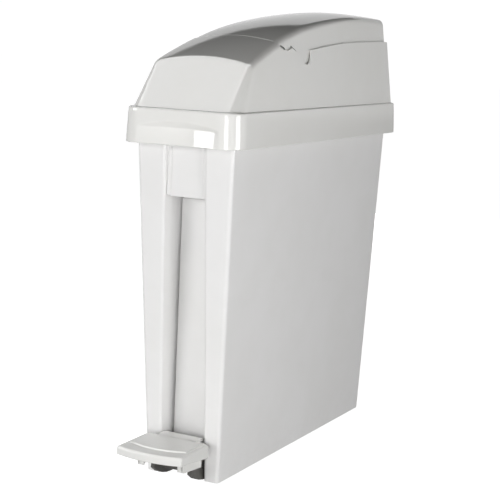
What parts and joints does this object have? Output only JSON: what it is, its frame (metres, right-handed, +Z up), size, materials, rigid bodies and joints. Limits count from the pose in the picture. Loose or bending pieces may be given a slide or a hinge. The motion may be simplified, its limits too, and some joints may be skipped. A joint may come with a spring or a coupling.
{
  "type": "pedal bin",
  "caption": "Slim free-standing pedal bin: tapered tub, lift-off hooded lid with tilting flap, front pedal working a push rod, and a liner bucket with a bail.",
  "frame": {"origin": "on the floor, at the middle of the bin's footprint with its pedal", "axes": "+Z up, front and pedal towards -Y, +X to the right of someone who looks along +Y"},
  "size_m": [0.1522, 0.5236, 0.5507],
  "materials": {
    "body_plastic": "semi-gloss moulded white",
    "cover_plastic": "semi-gloss moulded white",
    "lid_plastic": "high gloss off-white",
    "pedal_plastic": "gloss off-white",
    "dark_plastic": "matte dark grey",
    "guide_plastic": "natural nylon",
    "liner_plastic": "matte grey",
    "rubber": "matte black",
    "steel": "zinc-plated"
  },
  "bodies": {
    "bin": {"bin_body": "body_plastic", "rod_cover_strip": "cover_plastic", "channel_head_panel": "cover_plastic", "rod_guide_lower": "guide_plastic", "rod_guide_upper": "guide_plastic", "foot_front_left": "rubber", "foot_front_right": "rubber", "foot_rear_left": "rubber", "foot_rear_right": "rubber", "pedal_bracket_left": "dark_plastic", "pedal_bracket_right": "dark_plastic", "bracket_screw_left": "steel", "bracket_screw_right": "steel", "pedal_axle": "steel"},
    "pedal": {"pedal_plate": "pedal_plastic", "pedal_lever": "dark_plastic"},
    "rod": {"push_rod": "steel", "rod_shoe": "dark_plastic", "rod_cap": "guide_plastic"},
    "lid": {"lid_band": "lid_plastic", "hood_shell": "lid_plastic", "rocker_bracket": "dark_plastic", "rocker_axle": "steel", "pivot_bracket_left": "dark_plastic", "pivot_bracket_right": "dark_plastic", "flap_pivot_pin_left": "steel", "flap_pivot_pin_right": "steel", "flap_bumper_left": "rubber", "flap_bumper_right": "rubber", "hood_screw_front_left": "steel", "hood_screw_front_right": "steel", "hood_screw_rear_left": "steel", "hood_screw_rear_right": "steel"},
    "rocker": {"rocker_lever": "dark_plastic", "rocker_roller": "guide_plastic", "roller_pin": "steel"},
    "flap": {"flap_shell": "lid_plastic", "flap_crank": "dark_plastic", "crank_screw_left": "steel", "crank_screw_right": "steel"},
    "liner": {"liner_bucket": "liner_plastic", "bail_boss_left": "liner_plastic", "bail_boss_right": "liner_plastic"},
    "bail": {"liner_bail": "steel"}
  },
  "joints": [
    {"name": "pedal_press", "type": "hinge", "parent": "bin", "child": "pedal", "pos_m": [0, -0.17525, 0.02], "axis": [1, 0, 0], "range_deg": [0, 17]},
    {"name": "rod_lift", "type": "slide", "parent": "bin", "child": "rod", "axis": [0, 0, 1], "range_m": [0, 0.0075]},
    {"name": "rocker_turn", "type": "hinge", "parent": "lid", "child": "rocker", "pos_m": [0, -0.12925, 0.478], "axis": [1, 0, 0], "range_deg": [-20, 0]},
    {"name": "flap_tilt", "type": "hinge", "parent": "lid", "child": "flap", "pos_m": [0, -0.02175, 0.5], "axis": [1, 0, 0], "range_deg": [0, 30]},
    {"name": "lid_lift_off", "type": "slide", "parent": "bin", "child": "lid", "axis": [0, 0, 1], "range_m": [0, 0.65]},
    {"name": "liner_lift_out", "type": "slide", "parent": "bin", "child": "liner", "axis": [0, 0, 1], "range_m": [0, 0.4]},
    {"name": "bail_swing", "type": "hinge", "parent": "liner", "child": "bail", "pos_m": [0, 0.05175, 0.407], "axis": [1, 0, 0], "range_deg": [0, 90]}
  ],
  "couplings": [
    {"joint": "rod_lift", "follows": "pedal_press", "m_per_rad": 0.02483},
    {"joint": "rocker_turn", "follows": "pedal_press", "ratio": -1.157},
    {"joint": "flap_tilt", "follows": "pedal_press", "ratio": 1.74},
    {"joint": "liner_lift_out", "follows": "lid_lift_off", "ratio": 0.6}
  ]
}
